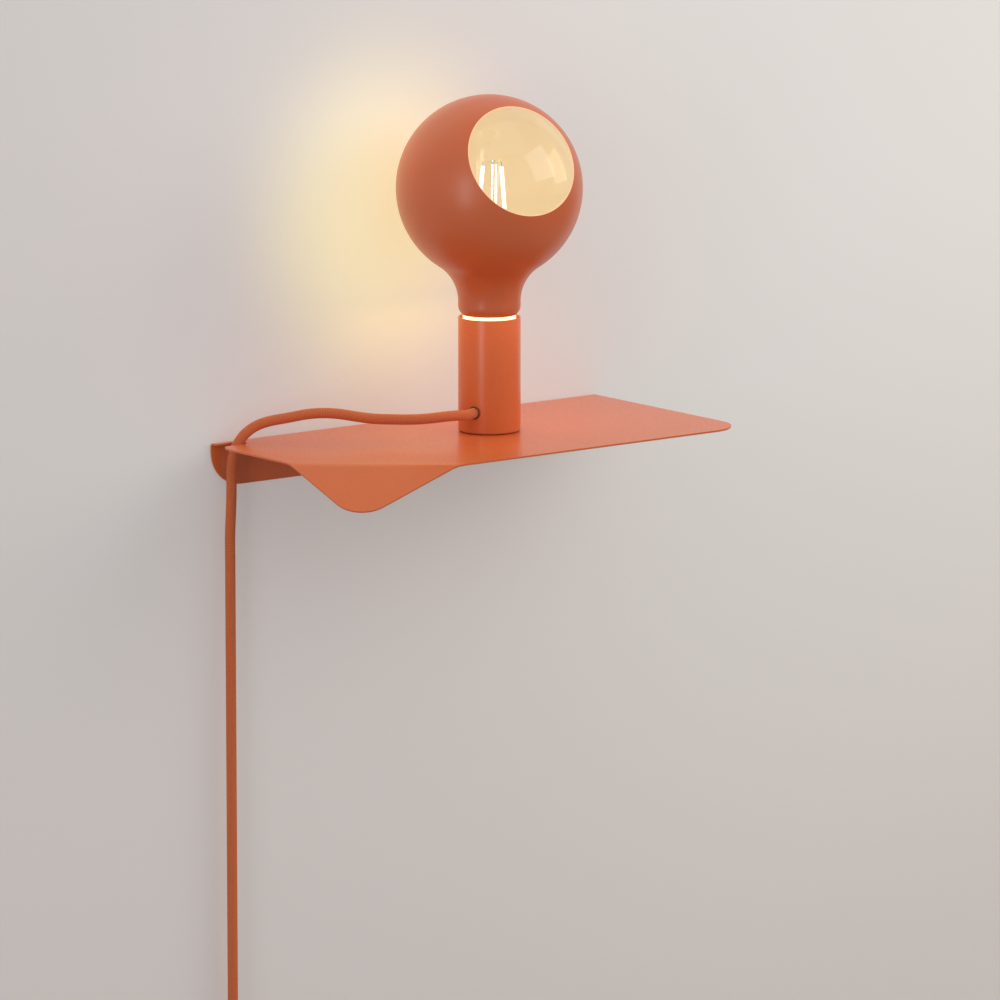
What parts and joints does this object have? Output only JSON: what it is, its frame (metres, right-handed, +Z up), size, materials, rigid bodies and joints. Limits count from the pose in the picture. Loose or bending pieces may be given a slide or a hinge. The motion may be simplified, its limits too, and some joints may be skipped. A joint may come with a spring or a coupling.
{
  "type": "wall lamp with shelf",
  "caption": "Folded steel wall shelf that carries a magnetic lamp holder with a lacquered globe bulb; its textile cord drops through a slot in the shelf to an in-line switch, a coil and a plug.",
  "frame": {"origin": "middle of the two wall screw holes, on the flange's face against the wall", "axes": "+X along the wall to the right, +Y into the wall, +Z up"},
  "size_m": [0.3695, 0.168, 0.8563],
  "materials": {
    "terracotta_paint": "satin powder coat",
    "terracotta_lacquer": "soft gloss lacquer on glass",
    "terracotta_textile": "woven sleeve",
    "terracotta_plastic": "satin moulded plastic",
    "clear_glass": "clear",
    "warm_phosphor": "glowing phosphor",
    "nickelled_brass": "plain",
    "steel": "plain",
    "magnet_metal": "nickel plated",
    "black_rubber": "matt",
    "terracotta_rubber": "matt",
    "black_plastic": "moulded",
    "ivory_plastic": "moulded",
    "brown_insulation": "smooth",
    "blue_insulation": "smooth",
    "circuit_board": "lacquered board"
  },
  "bodies": {
    "shelf": {"shelf": "terracotta_paint", "cord_run": "terracotta_textile", "switch_front": "terracotta_plastic", "switch_back": "terracotta_plastic", "rocker_pin": "steel", "switch_contacts": "nickelled_brass", "switch_screws": "steel", "switch_reliefs": "terracotta_rubber", "cord_lead": "terracotta_textile", "cord_coil": "terracotta_textile", "coil_tie": "black_rubber", "plug_relief": "terracotta_rubber", "plug_body": "terracotta_rubber", "plug_sleeves": "black_plastic", "plug_pins": "steel"},
    "holder": {"holder_housing": "terracotta_paint", "base_pad": "black_rubber", "base_magnet": "magnet_metal", "magnet_screw": "steel", "magnet_nut": "steel", "socket_body": "ivory_plastic", "socket_screws": "steel", "screw_shell": "nickelled_brass", "centre_contact": "nickelled_brass", "side_contact": "nickelled_brass", "terminal_blocks": "nickelled_brass", "terminal_screws": "steel", "cord_grommet": "terracotta_rubber", "cord_tail": "terracotta_textile", "cord_grip_base": "black_plastic", "cord_grip_cap": "black_plastic", "cord_grip_screws": "steel", "brown_lead": "brown_insulation", "blue_lead": "blue_insulation"},
    "bulb_foot": {"bulb_tip": "steel"},
    "bulb": {"cap_insulator": "black_plastic", "bulb_cap": "nickelled_brass", "bulb_glass": "clear_glass", "bulb_coat": "terracotta_lacquer", "glass_stem": "clear_glass", "filament_wires": "steel", "filaments": "warm_phosphor", "driver_board": "circuit_board", "driver_parts": "black_plastic"},
    "rocker": {"switch_rocker": "ivory_plastic", "switch_bridge": "nickelled_brass"}
  },
  "joints": [
    {"name": "holder_turn", "type": "hinge", "parent": "shelf", "child": "holder", "pos_m": [0.017, -0.0745, 0.015], "axis": [0, 0, 1], "range_deg": [-25, 25], "deforming": ["cord_run"]},
    {"name": "bulb_lift", "type": "slide", "parent": "holder", "child": "bulb_foot", "axis": [0, 0, 1], "range_m": [0, 0.0109]},
    {"name": "bulb_turn", "type": "hinge", "parent": "bulb_foot", "child": "bulb", "pos_m": [0.017, -0.0745, 0.065], "axis": [0, 0, 1], "range_deg": [0, 1080]},
    {"name": "rocker_tip", "type": "hinge", "parent": "shelf", "child": "rocker", "pos_m": [-0.1515, -0.0155, -0.422], "axis": [-1, 0, 0], "range_deg": [0, 16]}
  ],
  "couplings": [
    {"joint": "bulb_lift", "follows": "bulb_turn", "m_per_rad": 0.00057614}
  ]
}
